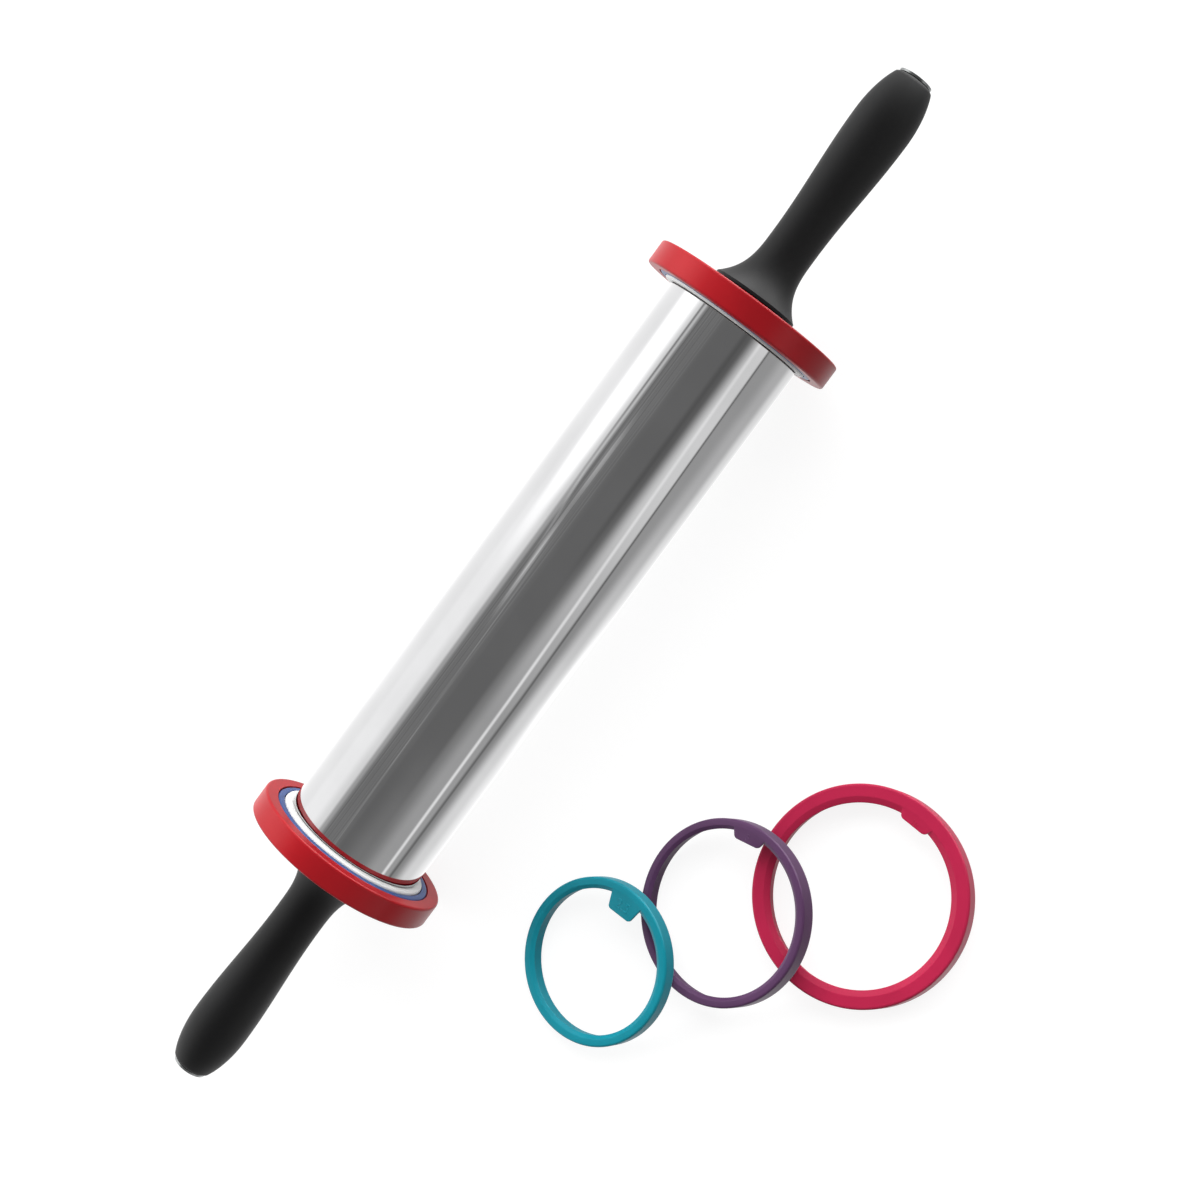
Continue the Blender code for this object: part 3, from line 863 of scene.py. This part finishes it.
# Around is in degrees: 0 is level to the front, 90 overhead, 180 level to the back, -90 straight down.
around = wire.math("ARCTAN2", upward, forward) * math.degrees(1)
around = around + 360 * wire.math("LESS_THAN", around, -120.0)
to_right = along.step(-0.2, 0.0)
# The ceiling: dim, with a few faint strips of light
ceiling = 0.12 + 0.05 * along.step(-0.2, -0.28) * around.step(75, 45) + 0.035 * around.step(76, 90)
ceiling = ceiling - 0.035 * around.line(41, 9) * along.step(-0.12, -0.04)
ceiling = ceiling + 0.34 * around.line(100 + 60 * (along + 0.107), 5) * along.line(-0.105, 0.045)
ceiling = ceiling + 0.22 * around.line(102, 7) * along.line(-0.043, 0.04)
ceiling = ceiling + 0.06 * around.line(88 + 38 * (along + 0.23), 2) * along.step(-0.07, -0.12)
band_values = {"W": around * 0.5 + along * 7, "Scale": 1.0, "Detail": 3.0}
bands = wire.node("ShaderNodeTexNoise", {"noise_dimensions": "1D"}, band_values, 0)
ceiling = ceiling * (1 + 1.1 * (bands - 0.5) * around.step(70, 96))
# The front of the room: grey at the left, lighter at the right, with one thin bright lamp
front = (0.19 - 0.09 * to_right) + (0.13 + 0.38 * to_right) * around.step(36, 13)
lamp_line = 30 * (along + 0.27) + 40 * wire.math("MAXIMUM", along + 0.173, 0.0) - 2.5
front = front + (0.42 - 0.30 * to_right) * around.line(lamp_line, 4.5)
# The table: a dark edge, grey beyond the pin's shadow and white close to it
edge_line = 60 * wire.math("MAXIMUM", along + 0.17, 0.0) - 16
table = 0.24 + 0.05 * to_right + (0.40 - 0.29 * to_right) * around.step(-20, -46)
table = table + (0.10 + 0.12 * to_right) * around.step(-54, -74)
table = table + 0.2 * around.step(-66, -84) * along.line(-0.15, 0.06)
below = around - edge_line
room = front + (table - front) * below.step(2, -2)
room = room - (0.14 + 0.14 * to_right) * below.line(0, 5 - 2 * to_right)
room = room + (ceiling - room) * around.step(33, 43)
# The back of the room: white, with a lighter lamp to the right
back = 0.34 + 0.34 * around.step(118, 124) + 0.17 * around.step(124, 142) - 0.05 * around.step(162, 174)
room = room + (back - room) * around.step(110, 117)
room = room - 0.3 * around.line(121, 3) * along.step(-0.08, 0.02)
streak = around.line(117 - 11 * along.step(-0.045, -0.1), 3.5)
room = room + 0.17 * streak * along.step(-0.115, -0.07)
lamp_top = 158 + 60 * along
lamp_reach = around.step(124, 140) * (around - lamp_top).step(8, -6) * along.step(-0.13, -0.01)
room = room + 0.5 * lamp_reach
# The room is darker beyond the right end of the pin, and a large lamp stands far out that way
room = room * (1 - 0.35 * along.step(0.07, 0.18)) * mirrored_light
room = room + far_lamp_light * along.step(0.72, 0.98)
# The camera sees plain white, shiny pieces mirror the room, and all else gets an even dim light.
glossy_ray = wire.node("ShaderNodeLightPath", {}, {}, "Is Glossy Ray")
plain_light = fill_light + (1.0 - fill_light) * direct_view(wire)
strength = plain_light + (room - plain_light) * glossy_ray
sky = wire.node("ShaderNodeBackground", {}, {"Color": white, "Strength": strength})
sky.into(wire.tree.nodes.new("ShaderNodeOutputWorld").inputs["Surface"])

# Camera
# It looks down on the pin from the front right, turned so that the pin runs from the lower left of the
# picture to the upper right.

camera = bpy.data.cameras.new("camera")
camera.lens = 56.30
camera.sensor_width = 36.0
camera_place = (0.0707521, -0.1990507, 0.5855117)
camera_turn = (10.7393, 22.7263, -50.0531)
camera_object = add_piece("camera", camera)
camera_object.location = camera_place
camera_object.rotation_euler = [math.radians(angle) for angle in camera_turn]
bpy.context.scene.camera = camera_object
bpy.context.scene.view_settings.view_transform = "Standard"

low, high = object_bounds()
sizes = {"cad": [list(cad_low), list(cad_high)], "visual": [list(low), list(high)]}
